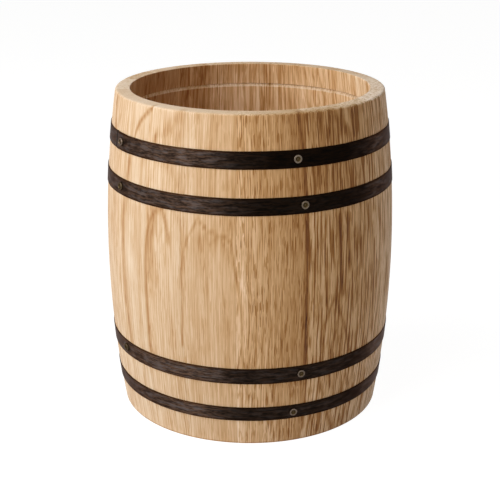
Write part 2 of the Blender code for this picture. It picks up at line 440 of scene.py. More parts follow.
def ring_rows(recipe, grain, ring):
    """How dark the early wood at the start of each growth ring is, on rings that stray."""
    strayed = recipe.total((
        (recipe.noise(grain, *WANDER), WANDER_REACH),
        (recipe.noise(grain, *JAG), JAG_REACH),
    ), ring)
    phase = recipe.calc("FRACT", strayed)
    return recipe.times(recipe.spread(phase, *RING_ONSET), recipe.spread(phase, *RING_FADE))


def make_oak(recipe, grain, ring, tone, coats, contrast, streaky, inside, inner_tone_and_shade, end, stain):
    """Oak, with its colour, roughness and relief.

    The vector grain is (across, into, along) the board, and ring counts the growth rings. The other
    inputs are shares, apart from coats and stain, which count coats of tannin: coats lie evenly, and
    a stain follows the grain.
    """
    swerve = recipe.vector("MULTIPLY", recipe.noise(grain, *SWERVE), SWERVE_REACH)
    grain = recipe.vector("ADD", grain, swerve)
    fibre = recipe.noise(grain, *FIBRE)
    patch = recipe.noise(grain, *PATCH)
    band = recipe.noise(grain, *BAND)
    dashes = recipe.spread(recipe.noise(grain, *DASH), *DASH_RANGE)
    strokes = recipe.spread(recipe.noise(grain, *STROKE), *STROKE_RANGE)
    streaks = recipe.spread(recipe.noise(grain, *STREAK), *STREAK_RANGE)
    lines = recipe.spread(recipe.noise(grain, *LINE), *LINE_RANGE)
    rows = recipe.times(ring_rows(recipe, grain, ring), recipe.spread(fibre, *ROW_RANGE))

    dark = recipe.total(((rows, RING_DEPTH), (strokes, STROKE_DEPTH), (dashes, DASH_DEPTH)))
    patched = recipe.times(contrast, recipe.spread(patch, *PATCH_RANGE))
    streaked = recipe.times(streaks, streaky)
    dark = recipe.total(((streaked, STREAK_DEPTH),), recipe.times(dark, patched))
    dark = recipe.times(dark, recipe.total(((inside, INSIDE_CALM),), 1.0))
    depth = recipe.total((
        (recipe.swing(fibre), FIBRE_DEPTH),
        (recipe.swing(patch), PATCH_DEPTH),
        (lines, LINE_DEPTH),
        (recipe.swing(band), BAND_DEPTH),
    ), dark)
    depth = recipe.times(depth, recipe.total(((end, END_CALM),), 1.0))
    broken = recipe.total(((strokes, STROKES_IN_STAINS),), recipe.spread(fibre, *STAIN_RANGE))
    depth = recipe.total(((stain, broken), (coats, 1.0), (inside, INSIDE_COATS)), depth)

    skin = recipe.blend(tone, PALE_OAK, DEEP_OAK)
    # On the staves, painted light and shade on the inner faces; on the head, the board's tone
    inner = recipe.blend(inner_tone_and_shade, PALE_INSIDE, DEEP_INSIDE)
    skin = recipe.blend(recipe.times(inside, FACE_COVER), skin, inner)
    skin = recipe.blend(recipe.times(end, FACE_COVER), skin, END_OAK)
    return recipe.finish(
        base_color=recipe.deepen(skin, recipe.blend(tone, PALE_TANNIN, DEEP_TANNIN), depth),
        roughness=recipe.spread(dark, *OAK_ROUGHNESS, False),
        normal=recipe.bump(dark, *PORE_RELIEF),
        specular_ior_level=OAK_GLOSS,
    )


STAVE_ATTRIBUTES = ("ring", "tone", "coats", "contrast", "streaky", "inside", "inner_tone_and_shade", "end", "stain")


def make_stave_oak():
    recipe = Recipe(bpy.data.materials.new("stave_oak"))
    grain = recipe.attribute("grain", "Vector")
    return make_oak(recipe, grain, *(recipe.attribute(name) for name in STAVE_ATTRIBUTES))


HEAD_RING_WIDTH = 0.0034
HEAD_RING_SLANT = 0.6
HEAD_TONES = (0.42, 0.30, 0.55, 0.36, 0.48)
HEAD_CONTRAST = 0.6
HEAD_STREAKY = 0.3
HEAD_INSIDE = 0.35


def make_head_oak(board):
    """Oak of one board of the bottom head, whose grain runs along Y."""
    recipe = Recipe(bpy.data.materials.new(f"head_oak_{board}"))
    across, lengthwise, into = recipe.parts(recipe.object_place())
    grain = recipe.joined((recipe.calc("ADD", across, float(board)), into, lengthwise))
    ring = recipe.calc("DIVIDE", recipe.total(((into, HEAD_RING_SLANT),), across), HEAD_RING_WIDTH)
    tone = HEAD_TONES[board - 1]
    return make_oak(
        recipe, grain, ring, tone, 0.0, HEAD_CONTRAST, HEAD_STREAKY, HEAD_INSIDE, tone, 0.0, 0.0
    )


# Staves

Board = namedtuple(
    "Board",
    "left_tone right_tone left_coats right_coats contrast streaky slant ring_radius ring_width bends",
)

# The boards that the front shows. Tone and coats of tannin run evenly from the left side to the right.
# A bend is (height, slope, ease): above that height the face runs out through the rings at that slope,
# which draws an arch.
FRONT_BOARDS = {
    "stave_18": Board(0.15, 0.15, 0.1, 0.0, 0.30, 0.15, 40, 0.20, 0.0042, ((0.10, 0.010, 0.02),)),
    "stave_01": Board(0.02, 0.02, 0.0, 0.1, 0.18, 0.05, 14, 0.30, 0.0036, ((0.15, -0.012, 0.02),)),
    "stave_02": Board(0.20, 0.20, 0.0, 0.1, 0.26, 0.05, 0, 0.036, 0.0034, ((0.158, 0.150, 0.006),)),
    "stave_03": Board(0.22, 0.85, 0.0, 0.1, 0.24, 0.08, 0, 0.045, 0.0042, ((0.148, 0.130, 0.008),)),
    "stave_04": Board(1.00, 1.00, -0.3, 0.7, 0.80, 0.10, 34, 0.40, 0.0025, ((0.19, 0.035, 0.01),)),
    "stave_05": Board(
        1.00, 1.00, -0.1, 0.1, 0.70, 0.90, 30, 0.15, 0.0035, ((0.06, 0.045, 0.01), (0.11, -0.04, 0.01))
    ),
    "stave_06": Board(1.00, 1.00, 0.0, -0.1, 0.65, 1.00, 28, 0.12, 0.0035, ((0.19, 0.09, 0.01),)),
    "stave_07": Board(0.95, 0.95, -0.3, -0.4, 0.50, 0.90, 38, 0.25, 0.0035, ((0.12, 0.012, 0.02),)),
    "stave_08": Board(0.90, 0.90, -0.3, -0.2, 0.50, 0.70, 20, 0.10, 0.0035, ((0.14, 0.03, 0.01),)),
}

# The boards behind: the ranges that their values are drawn from, with arches or cut on the slant
BOARD_SEED = 11
ARCHED_SHARE = 0.45
TONES = (0.1, 0.7)
COATS = (-0.2, 0.3)
CONTRASTS = (0.35, 0.8)
STREAKINESS = (0.1, 0.7)
ARCHED_SLANTS = (-4, 4)
ARCHED_RADII = (0.035, 0.06)
ARCHED_RINGS = (0.0030, 0.0042)
SLANTS = (22, 42)
SLANTED_RADII = (0.15, 0.4)
SLANTED_RINGS = (0.0018, 0.0026)
BEND_HEIGHTS = (0.04, 0.16)
BEND_SLOPES = (0.04, 0.14)
BEND_EASE = 0.008

# How deep in colour the wood is round the inside, as stops of (azimuth, share): painted light and shade,
# pale where the lamp lights the inner wall and deep where it is in shade
INNER_LIGHT_AND_SHADE = ((0, 0.6), (60, 0.2), (99, 0.0), (125, 0.03), (150, 0.14), (170, 0.36), (188, 0.50),
               (205, 0.78), (225, 1.0), (280, 1.0), (360, 0.6))

# Towards the base the boards lose some of their tone, and towards the rim those of a deep tone have a
# thin coat more, as stops of (height, share) and of (height, coats)
TONE_BY_HEIGHT = ((0.02, 0.70), (0.09, 1.0))
COATS_BY_HEIGHT = ((0.02, -0.06), (0.08, 0.0), (0.17, 0.0), (0.20, 0.15))

# The end faces of the rim are paler on the right, as stops of (azimuth, coats)
RIM_COATS = ((30, 0.0), (50, -0.27), (95, -0.27), (125, 0.0))

# A thin band of painted shade round the foot, where it meets the floor, in metres and in coats
FOOT_SHADE_BAND = 0.0015
FOOT_SHADE_COATS = 1.1


def plan_boards():
    """The front's boards as they are in the photograph, and boards of mixed cut behind."""
    chance = random.Random(BOARD_SEED)
    boards = {}
    for name in stave_names():
        arched = chance.random() < ARCHED_SHARE
        tone = chance.uniform(*TONES)
        behind = Board(
            left_tone=tone,
            right_tone=tone,
            left_coats=chance.uniform(*COATS),
            right_coats=chance.uniform(*COATS),
            contrast=chance.uniform(*CONTRASTS),
            streaky=chance.uniform(*STREAKINESS),
            slant=chance.uniform(*ARCHED_SLANTS) if arched
            else chance.choice((-1, 1)) * chance.uniform(*SLANTS),
            ring_radius=chance.uniform(*(ARCHED_RADII if arched else SLANTED_RADII)),
            ring_width=chance.uniform(*(ARCHED_RINGS if arched else SLANTED_RINGS)),
            bends=((chance.uniform(*BEND_HEIGHTS), chance.uniform(*BEND_SLOPES), BEND_EASE),),
        )
        boards[name] = FRONT_BOARDS.get(name, behind)
    return boards


# Marks that the photograph shows, as (width, strength, points): a soft line through points of
# (azimuth, height), with its strength in coats of tannin, which are under nought in a light mark
MARKS = (
    # Down the front, by a joint
    (0.0014, 2.6, ((19.3, 0.2482), (19.9, 0.234), (20.6, 0.215), (21.2, 0.195), (21.4, 0.1786))),
    (0.0014, 2.5, ((21.4, 0.1786), (21.4, 0.145), (21.4, 0.11), (21.5, 0.0726), (22, 0.05))),
    (0.0012, 1.9, ((22, 0.05), (22.4, 0.012))),
    # Arches and bands of the left side
    (0.0026, 0.8, ((-55.2, 0.18), (-57.4, 0.1653), (-57.4, 0.1461), (-57, 0.1291), (-56.9, 0.0987))),
    (0.0022, 0.7, ((-56.9, 0.0987), (-56.1, 0.0787), (-54.4, 0.0631))),
    (0.0014, 1.3, ((-34.3, 0.1802), (-38.2, 0.1767), (-40.6, 0.1677), (-42.2, 0.1551), (-42.9, 0.1366))),
    (0.0014, 1.2, ((-42.9, 0.1366), (-42.8, 0.1149), (-42.6, 0.0912), (-42.5, 0.0707), (-40.8, 0.0617))),
    (0.0034, 0.6, ((-37.6, 0.174), (-40.6, 0.155), (-41, 0.13))),
    (0.0012, 1.0, ((-34.3, 0.1802), (-33.8, 0.176), (-32.4, 0.1678), (-31.4, 0.1578))),
    (0.0008, 0.9, ((-26.5, 0.0786), (-25.7, 0.1145), (-26, 0.133), (-25.2, 0.1515), (-23.5, 0.161))),
    (0.0008, 0.85, ((-23.5, 0.161), (-21.4, 0.169), (-19.5, 0.1763), (-17.1, 0.171), (-14.4, 0.1672))),
    (0.0008, 0.9, ((-14.4, 0.1672), (-11.8, 0.1654), (-9.2, 0.165), (-7, 0.161), (-6.4, 0.154))),
    (0.0009, 1.0, ((-6.4, 0.154), (-6, 0.145), (-4.5, 0.13), (-3.8, 0.1188), (-4.6, 0.1095))),
    (0.0007, 0.8, ((-15, 0.159), (-13.4, 0.161), (-10.5, 0.1605), (-8.2, 0.156), (-7.6, 0.148))),
    (0.003, 0.3, ((-21, 0.16), (-16, 0.164), (-10, 0.158), (-7.5, 0.15))),
    (0.0008, 0.7, ((-37.2, 0.1315), (-37.4, 0.1206))),
    (0.0013, -0.5, ((-2.2, 0.1817), (-2.6, 0.1559), (-2.9, 0.1301), (-1.6, 0.123))),
    (0.003, -0.25, ((-34, 0.17), (-33.8, 0.13), (-34.5, 0.1))),
    (0.0008, 0.7, ((-31.9, 0.1694), (-31.9, 0.1621))),
    # Streaks of the right side, and a pointed arch low down
    (0.0015, 2.6, ((35.1, 0.1727), (35.6, 0.1451), (37, 0.1162))),
    (0.0019, 2.0, ((39.6, 0.1718), (40.2, 0.1356))),
    (0.001, 1.6, ((28.8, 0.1453), (29.6, 0.1131))),
    (0.001, 1.9, ((46.7, 0.1531), (46.9, 0.1346))),
    (0.0012, 1.3, ((43.3, 0.1622), (44.8, 0.106))),
    (0.0012, 1.3, ((54.1, 0.1594), (57.3, 0.0737))),
    (0.0009, 1.3, ((23.8, 0.1439), (23.6, 0.1151))),
    (0.0011, 1.7, ((32.8, 0.1118), (29.1, 0.0936), (28.3, 0.0779))),
    (0.0011, 1.7, ((34.2, 0.1104), (39.6, 0.0847), (42.1, 0.0668))),
    (0.001, 1.4, ((34.7, 0.0936), (33.4, 0.0756), (33, 0.0634))),
    # The bands between the lower hoops and below them
    (0.0014, 2.2, ((33.6, 0.0176), (35.4, 0.01), (37.5, 0.0027))),
    (0.001, 2.0, ((41.7, 0.0082), (43.7, 0.0014))),
    (0.0009, 1.8, ((45.2, 0.0167), (46.2, 0.0079))),
    (0.0009, 1.0, ((18.1, 0.0433), (18.3, 0.0381))),
    (0.0008, 1.3, ((8.8, 0.0471), (8.9, 0.0368))),
    (0.0011, 1.7, ((29.1, 0.0442), (30.5, 0.0359))),
    (0.0009, 1.7, ((41.9, 0.0459), (43.7, 0.0378))),
    (0.001, 1.5, ((32, 0.0539), (33.5, 0.0429))),
    (0.001, 1.4, ((25.5, 0.0224), (27.1, 0.0092))),
    (0.0009, 0.7, ((8.3, 0.0248), (8.9, 0.0114))),
    (0.0045, -0.6, ((9.3, 0.018), (9.6, 0.004))),
    (0.0045, 0.4, ((-10.6, 0.018), (-10.6, 0.003))),
    (0.004, 0.2, ((-1, 0.018), (-1, 0.003))),
    # The bands between the upper hoops and above them
    (0.0009, 1.5, ((-42, 0.2485), (-45, 0.244), (-48.6, 0.237), (-50.6, 0.23), (-51.4, 0.223))),
    (0.0028, 0.6, ((-27.8, 0.2449), (-33.6, 0.2382))),
    (0.0014, 1.6, ((-72.5, 0.245), (-71.1, 0.238), (-71.1, 0.2268))),
    (0.001, 1.6, ((-39.1, 0.23), (-39.1, 0.2262))),
    (0.002, 0.9, ((1, 0.244), (2.2, 0.227))),
    (0.0018, 1.4, ((-54.1, 0.2071), (-55, 0.195))),
    (0.002, 0.35, ((-27.5, 0.2042), (-28.7, 0.1955))),
    (0.0045, 0.2, ((-28.2, 0.235), (-28.2, 0.2265))),
    (0.005, -0.25, ((-40.1, 0.248), (-40.1, 0.195))),
    (0.0016, 2.0, ((-70, 0.229), (-69, 0.2262))),
    (0.003, 1.3, ((33.5, 0.2478), (37.5, 0.24), (42.4, 0.229))),
    (0.01, 0.85, ((24, 0.24), (31, 0.234))),
    (0.008, 0.4, ((33, 0.237), (44, 0.23))),
    (0.008, 0.68, ((22, 0.205), (38, 0.202))),
    (0.0045, -0.22, ((-9.6, 0.24), (-9.6, 0.195))),
    (0.003, -0.3, ((18.8, 0.044), (18.8, 0.034))),
)

# The same on the inner faces
INNER_MARKS = (
    (0.0055, 0.42, ((150, 0.25), (198, 0.25))),
    (0.0009, 1.6, ((169.6, 0.249), (169.8, 0.2335), (170.2, 0.215))),
    (0.0024, 0.9, ((132.4, 0.249), (132.8, 0.22), (133, 0.2))),
    (0.0008, 1.2, ((135.5, 0.249), (135.6, 0.2335))),
    (0.0012, 1.0, ((150, 0.248), (150.5, 0.2335))),
    (0.004, 0.7, ((203, 0.248), (208, 0.2335))),
    (0.001, 1.2, ((204, 0.249), (206, 0.2335))),
    (0.0035, 0.5, ((232, 0.249), (232, 0.2335))),
)


def stave_joints():
    """Azimuths of the joints, rising from the first stave's left side round to it again."""
    sides = []
    for name in stave_names():
        middle = middle_azimuth(name)
        turn = (azimuths_of(points_of(name)) - middle + HALF_TURN) % FULL_TURN - HALF_TURN
        sides.append((middle + turn.min(), middle + turn.max()))
    joints = [sides[0][0]]
    for i, (left, right) in enumerate(sides):
        following = sides[(i + 1) % len(sides)][0]
        gap = (following - right) % FULL_TURN
        width = (right - left) % FULL_TURN
        joints.append(joints[-1] + width + gap)
    half_gap = (sides[0][0] - sides[-1][1]) % FULL_TURN / 2
    return [joint - half_gap for joint in joints]


def arc(size, end_height, inward):
    """A rounded outer corner of a stave's end, from the outer face to the end face."""
    centre_height = end_height + inward * size
    centre_radius = outer_radius(centre_height) - size
    turns = [math.radians(turn) for turn in evenly(0.0, QUARTER_TURN, QUARTER_TURN / ARC_STEPS)]
    return [
        (centre_radius + size * math.cos(turn), centre_height - inward * size * math.sin(turn))
        for turn in turns
    ]


def croze(end_height, inward, depth, floor):
    """The corners of a croze groove, from its square side near the stave's end to its slope's lip."""
    square = end_height + inward * CROZE_FROM_END
    slope_start = square + inward * floor
    slope_end = square + inward * CROZE_MOUTH
    floor_radius = inner_radius(square) + depth
    return [
        (inner_radius(square), square),
        (floor_radius, square),
        (floor_radius, slope_start),
        (inner_radius(slope_end), slope_end),
    ]


def along(start, end, largest_step):
    """Points between two corners of an outline, both left out."""
    length = math.dist(start, end)
    return [
        (start[0] + (end[0] - start[0]) * share, start[1] + (end[1] - start[1]) * share)
        for share in (step / length for step in evenly(0.0, length, largest_step)[1:-1])
    ]


def stave_outline():
    """A stave's lengthwise section as (radius, height), up its outer face and down its inner one."""
    base = arc(BASE_ARRIS, 0.0, 1)[::-1]
    rim = arc(RIM_ARRIS, HEIGHT, -1)
    outer = [FOOT_SHADE_BAND] + evenly(FOOT_SHADE_BAND, HEIGHT - RIM_ARRIS, ROW_HEIGHT)[1:-1]
    lip_top = (inner_radius(HEIGHT) + INNER_ARRIS, HEIGHT)
    lip_face = (inner_radius(HEIGHT), HEIGHT - INNER_ARRIS)
    base_face = (inner_radius(0.0), INNER_ARRIS)
    base_lip = (inner_radius(0.0) + INNER_ARRIS, 0.0)
    top_croze = croze(HEIGHT, -1, WORN_CROZE_DEPTH, WORN_CROZE_FLOOR)
    base_croze = croze(0.0, 1, CROZE_DEPTH, CROZE_FLOOR)[::-1]
    below_lip = top_croze[-1][1] - SLOPE_FADE
    inner = [below_lip] + evenly(below_lip, base_croze[0][1], ROW_HEIGHT)[1:-1]
    return (
        base
        + [(outer_radius(height), height) for height in outer]
        + rim
        + along(rim[-1], lip_top, STAVE_THICKNESS / RIM_ROWS)
        + [lip_top, lip_face]
        + along(lip_face, top_croze[0], ROW_HEIGHT)
        + top_croze
        + [(inner_radius(height), height) for height in inner]
        + base_croze
        + along(base_croze[-1], base_face, ROW_HEIGHT)
        + [base_face, base_lip]
        + along(base_lip, base[0], STAVE_THICKNESS / RIM_ROWS)
    )


def outward_normals(outline):
    """Unit normals of a closed outline that runs up its outer side, pointing out of the wood."""
    points = np.array(outline)
    run = np.roll(points, -1, axis=0) - np.roll(points, 1, axis=0)
    normals = np.stack((run[:, 1], -run[:, 0]), axis=1)
    return normals / np.linalg.norm(normals, axis=1)[:, None]


def make_staves(oak):
    outline = np.array(stave_outline())
    normals = outward_normals(outline)
    chance = random.Random(BOARD_SEED)
    joints = stave_joints()
    boards = plan_boards()
    for i, name in enumerate(stave_names()):
        sunk = chance.uniform(0.0, STAVE_UNEVENNESS)
        make_stave(name, i, joints[i], joints[i + 1], outline, normals, sunk, boards[name], oak)


# Columns by a stave's joints: how far in from the joint they stand, and their share of the easing
EASED_COLUMNS = ((JOINT_GAP / 2, 1.0), (0.0003, 0.25), (0.0008, 0.0), (0.0014, 0.0))

# How much of an end face shows, as stops of (lengthwise part of the normal, share)
END_FACING = ((0.4, 0.0), (0.85, 1.0))


def stave_columns(left, right):
    """Columns of a stave from joint to joint, as (azimuth, inset, share of the joint's easing)."""
    return (
        [(left, inset, share) for inset, share in EASED_COLUMNS]
        + [(azimuth, 0.0, 0.0) for azimuth in evenly(left, right, COLUMN_ANGLE)[2:-2]]
        + [(right, -inset, share) for inset, share in reversed(EASED_COLUMNS)]
    )


def make_stave(name, number, left, right, outline, normals, sunk, board, oak):
    """One stave: its lengthwise section swept from joint to joint, with its long corners eased."""
    columns = stave_columns(left, right)
    middle = (left + right) / 2
    sections = []
    grain = []
    azimuths = []
    for azimuth, inset, share in columns:
        shrunk = outline - normals * (sunk + share * JOINT_ARRIS)
        for radius, height in shrunk:
            turned = azimuth + math.degrees(math.asin(inset / radius))
            sections.append(place(radius, turned, height))
            azimuths.append(turned)
            across = radius * math.radians(turned - middle)
            grain.append((across, outer_radius(min(max(height, 0.0), HEIGHT)) - radius, height))
    sections = np.array(sections).reshape(len(columns), len(outline), 3)
    grain = np.array(grain)
    azimuths = np.array(azimuths)
    corners, faces = skinned(sections)
    into = grain[:, 1]
    whole = np.ones(len(grain))
    tone = at_stops(((left, board.left_tone), (right, board.right_tone)), azimuths)
    attributes = {
        "ring": ring_count(board, grain),
        "grain": grain + np.array((number + 1.0, 0.0, 0.0)),
        "tone": tone * at_stops(TONE_BY_HEIGHT, grain[:, 2]),
        "coats": at_stops(((left, board.left_coats), (right, board.right_coats)), azimuths)
        + at_stops(COATS_BY_HEIGHT, grain[:, 2]) * tone
        + at_stops(RIM_COATS, azimuths) * (grain[:, 2] > HEIGHT - RIM_ARRIS / 2)
        # Painted shade in the band round the foot
        + at_stops(((BASE_ARRIS, FOOT_SHADE_COATS), (FOOT_SHADE_BAND, 0.0)), grain[:, 2]),
        "contrast": whole * board.contrast,
        "streaky": whole * board.streaky,
        "inside": (into > STAVE_THICKNESS - INNER_ARRIS / 2).astype(float),
        # Painted light and shade on the inner faces
        "inner_tone_and_shade": at_stops(INNER_LIGHT_AND_SHADE, azimuths % FULL_TURN),
        # The end share also takes in the paleness of the croze slope, which is partly painted light
        "end": np.tile(np.maximum(end_share(normals), slope_grain_and_light(outline)), len(columns)),
        "stain": stains(grain, azimuths),
    }
    make_piece(f"oak_{name}", corners, faces, oak, name, attributes)


def end_share(normals):
    """How far each point of the outline faces along the grain."""
    return at_stops(END_FACING, np.abs(normals[:, 1]))


def slope_grain_and_light(outline):
    """How pale the worn slope of the upper croze is: end grain cut across the fibres, and painted light on
    it.
    """
    radius, height = outline.T
    square = HEIGHT - CROZE_FROM_END
    on_slope = (height < square) & (height > square - CROZE_MOUTH - SLOPE_FADE / 2)
    return CROZE_SLOPE_GRAIN_AND_LIGHT * (on_slope & (radius < outer_radius(square) - STAVE_THICKNESS / 2))


def ring_count(board, grain):
    """How many growth rings lie between the board's heart and each point."""
    across, into, height = grain.T
    slant = math.radians(board.slant)
    depth = across * math.sin(slant) + into * math.cos(slant) + across ** 2 / (2 * board.ring_radius)
    for start, slope, ease in board.bends:
        depth = depth + slope * softly(height - start, ease)
    return depth / board.ring_width


# How much further a mark fades out along the grain than across it
MARK_STRETCH = 2.5

# How far into a stave the marks reach, as a share of its thickness
STAIN_REACH = 0.5


def stains(grain, azimuths):
    """Coats of tannin in the marks on the outer face and on the inner one."""
    into, height = grain.T[1:]
    outer = marked(MARKS, azimuths, height)
    inner = marked(INNER_MARKS, azimuths, height)
    return np.where(into < STAIN_REACH * STAVE_THICKNESS, outer, inner)


def marked(marks, azimuths, height):
    """The darkest of the dark marks and the lightest of the light ones at each point, together."""
    coats = np.array([mark_share(*mark, azimuths, height) for mark in marks])
    return coats.max(axis=0).clip(min=0) + coats.min(axis=0).clip(max=0)


def mark_share(width, strength, points, azimuths, height):
    """How strongly a mark shows at each point: all of it on its line, fading with distance."""
    nearest = np.full(len(height), np.inf)
    for (start_turn, start_height), (end_turn, end_height) in zip(points, points[1:]):
        side = BILGE_RADIUS * np.radians((azimuths - start_turn + HALF_TURN) % FULL_TURN - HALF_TURN)
        up = height - start_height
        run = BILGE_RADIUS * math.radians(end_turn - start_turn)
        rise = end_height - start_height
        way = np.clip((side * run + up * rise) / (run ** 2 + rise ** 2), 0, 1)
        nearest = np.minimum(nearest, np.hypot(side - way * run, (up - way * rise) / MARK_STRETCH))
    return strength * np.exp(-(nearest / width) ** 2)


# Hoops

Hoop = namedtuple("Hoop", "name number middle half")


def read_hoop(name, number):
    """The middle and half the width of a hoop's strip, from the lowest and highest edge of its solid."""
    low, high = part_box(name)
    return Hoop(name, number, (low.z + high.z) / 2, (high.z - low.z) / 2)


def strip_slope(hoop):
    """The growth of the strip's radius with height, which is a little less than the wood's."""
    lower = outer_radius(hoop.middle - hoop.half)
    upper = outer_radius(hoop.middle + hoop.half)
    return STRIP_FLARE * (upper - lower) / (2 * hoop.half)


def strip_radius(hoop, height):
    """The inner radius of the strip, tight on the wood at the edge nearest the bilge."""
    tight = hoop.middle + math.copysign(hoop.half, MIDDLE - hoop.middle)
    return outer_radius(tight) + STRIP_GAP + strip_slope(hoop) * (height - tight)


def strip_profile(half):
    """The strip's section as (out, up) round its middle: a rectangle with its outer corners eased."""
    out = STRIP_THICKNESS
    ease = STRIP_ARRIS
    corner = STRIP_CORNER_SHARE * ease
    face = [(out, up) for up in evenly(-half + ease, half - ease, 2 * half / STRIP_ROWS)]
    return (
        [(0.0, -half), (out - ease, -half), (out - corner, -half + corner)]
        + face
        + [(out - corner, half - corner), (out - ease, half), (0.0, half)]
    )


# Noise round the strips, read along two rings in it: their radii, and the share of the quicker one
SLOW_RADIUS = 4
QUICK_RADIUS = 17
QUICK_SHARE = 0.5

# Places in the noise, which keep the waves of the strips' parts apart
QUICK_SEED = 9
FACE_SEED = 5
WEAR_AND_SHEEN_SEED = 20


def wander(turn, seed):
    """An uneven wave round the barrel, from about -1 to 1."""
    angle = math.radians(turn)
    slow = Vector((SLOW_RADIUS * math.cos(angle), SLOW_RADIUS * math.sin(angle), seed))
    quick = Vector((QUICK_RADIUS * math.cos(angle), QUICK_RADIUS * math.sin(angle), seed + QUICK_SEED))
    return noise.noise(slow) + QUICK_SHARE * noise.noise(quick)


# How far the blacking has worn off the strips round the barrel, with painted sheen on the lit left side
# and at the right end, as stops of (azimuth, share), and how much more it has on each hoop down from
# the rim
WEAR_AND_SHEEN = ((-180, 0.5), (-95, 0.95), (-72, 1.0), (-62, 0.7), (-22, 0.7), (-4, 0.12), (8, 0.0), (40, 0.0),
        (50, 0.15), (58, 0.5), (66, 0.7), (180, 0.5))
WEAR_AND_SHEEN_BY_HOOP = (0.80, 0.85, 1.35, 1.20)
LEAST_WEAR_AND_SHEEN = (0.0, 0.03, 0.15, 0.13)
WEAR_AND_SHEEN_WANDER = 0.35

# Dirt and painted shade by a lap's ends, where the lifted strip shades the one under it: where it starts,
# its fall over one reach of it, and how much a distance from the lifted end counts
DIRT_AND_SHADE_START = 1.7
DIRT_AND_SHADE_FALL = 1.13
LIFTED_DIRT_AND_SHADE_CLOSENESS = 0.8


# The share of wear and of painted sheen on a hoop at an azimuth
def wear_and_sheen_share(azimuth, number):
    turn = (azimuth + HALF_TURN) % FULL_TURN - HALF_TURN
    strayed = 1 + WEAR_AND_SHEEN_WANDER * wander(azimuth, WEAR_AND_SHEEN_SEED + number)
    share = at_stops(WEAR_AND_SHEEN, turn) * WEAR_AND_SHEEN_BY_HOOP[number] * strayed
    return min(max(share, LEAST_WEAR_AND_SHEEN[number]), 1.0)


def make_hoop(hoop, steel):
    """A strip once round and on under its own start, which lies lifted over the end."""
    lap_azimuth = middle_azimuth(f"{hoop.name}_rivet_{LAP_RIVETS[hoop.name]}")
    degree_length = math.radians(1) * strip_radius(hoop, hoop.middle)
    lap = HOOP_LAP / degree_length
    joggle = JOGGLE_LENGTH / degree_length
    start = lap_azimuth - lap / 2
    corner = END_CORNER / degree_length
    dirt_and_shade_reach = END_DIRT_AND_SHADE / degree_length
    by_start = [share * corner for share in END_CORNER_STEPS]
    by_end = [FULL_TURN - 2 * dirt_and_shade_reach, FULL_TURN - dirt_and_shade_reach, FULL_TURN]
    turns = by_start + evenly(0.0, by_end[0], STRIP_ANGLE)[1:-1] + by_end
    turns += evenly(FULL_TURN, FULL_TURN + lap, STRIP_ANGLE)[1:]
    profile = strip_profile(hoop.half)
    sections = []
    strip = []
    gap = []
    wear_and_sheen = []
    for turn in turns:
        lift = (STRIP_THICKNESS + STRIP_GAP) * eased_step((lap + joggle - turn) / joggle)
        lift += STRIP_FACE_WANDER * wander(turn, FACE_SEED + hoop.number)
        clipped = END_CORNER * max(0.0, 1 - min(turn, FULL_TURN + lap - turn) / corner) ** 2
        by_lap = min(LIFTED_DIRT_AND_SHADE_CLOSENESS * turn, abs(turn - FULL_TURN))
        for out, up in profile:
            edge = up / hoop.half
            strayed = STRIP_WANDER * wander(start + turn, hoop.number + edge)
            height = hoop.middle + up + edge * (strayed - clipped)
            sections.append(place(strip_radius(hoop, height) + lift + out, start + turn, height))
            strip.append((math.radians(turn) * BILGE_RADIUS, up, hoop.number + 1.0))
            # Dirt and painted shade on the strip by the lap's ends, darkest by the lifted end
            gap.append(min(max(0.0, DIRT_AND_SHADE_START - DIRT_AND_SHADE_FALL * by_lap / dirt_and_shade_reach), 1.0))
            # Wear of the blacking, with painted sheen on the lit left side and at the right end
            wear_and_sheen.append(wear_and_sheen_share(start + turn, hoop.number))
    sections = np.array(sections).reshape(len(turns), len(profile), 3)
    corners, faces = skinned(sections)
    edge = np.abs(np.array(strip)[:, 1]) / hoop.half
    attributes = {"strip": strip, "edge": edge, "gap": gap, "wear_and_sheen": wear_and_sheen}
    make_piece(f"steel_{hoop.name}", corners, faces, steel, hoop.name, attributes)


def eased_step(share):
    share = min(max(share, 0.0), 1.0)
    return share * share * (3 - 2 * share)


# Rivets

def rivet_height(radius):
    """The head's height at a radius: a rounded edge, a crest ring, and the peened shank in a dish."""
    if radius >= RIVET_CREST_RADIUS:
        way = (radius - RIVET_CREST_RADIUS) / (RIVET_HEAD_RADIUS - RIVET_CREST_RADIUS)
        return RIVET_EDGE_HEIGHT + (RIVET_HEAD_HEIGHT - RIVET_EDGE_HEIGHT) * dome(way)
    way = (RIVET_CREST_RADIUS - radius) / (RIVET_CREST_RADIUS - RIVET_DISH_RADIUS)
    peen = PEEN_HEIGHT * dome(radius / PEEN_RADIUS)
    return RIVET_HEAD_HEIGHT - RIVET_DISH_DEPTH * eased_step(way) + peen


def dome(way):
    """The height of a round dome of height 1 at a share of the way from its middle to its edge."""
    return math.sqrt(max(0.0, 1 - way * way))


def rivet_outline():
    radii = evenly(RIVET_HEAD_RADIUS, RIVET_MIDDLE, RIVET_STEP)
    return (
        [(RIVET_SHANK_RADIUS, -RIVET_SHANK_LENGTH), (RIVET_SHANK_RADIUS, 0.0), (RIVET_HEAD_RADIUS, 0.0)]
        + [(radius, rivet_height(radius)) for radius in radii]
    )


# How bright the rivets' crests are round the barrel, as stops of (azimuth, share), how much of that
# they have on each hoop, and one with a share of its own, raised as a painted highlight
SHINE = ((-180, 0.6), (-90, 0.5), (-50, 0.35), (-15, 1.0), (60, 1.0), (120, 0.6), (180, 0.6))
SHINE_BY_HOOP = (1.0, 0.85, 0.75, 0.8)
PAINTED_HIGHLIGHT_RIVETS = {"top_head_hoop_rivet_2": 0.85}


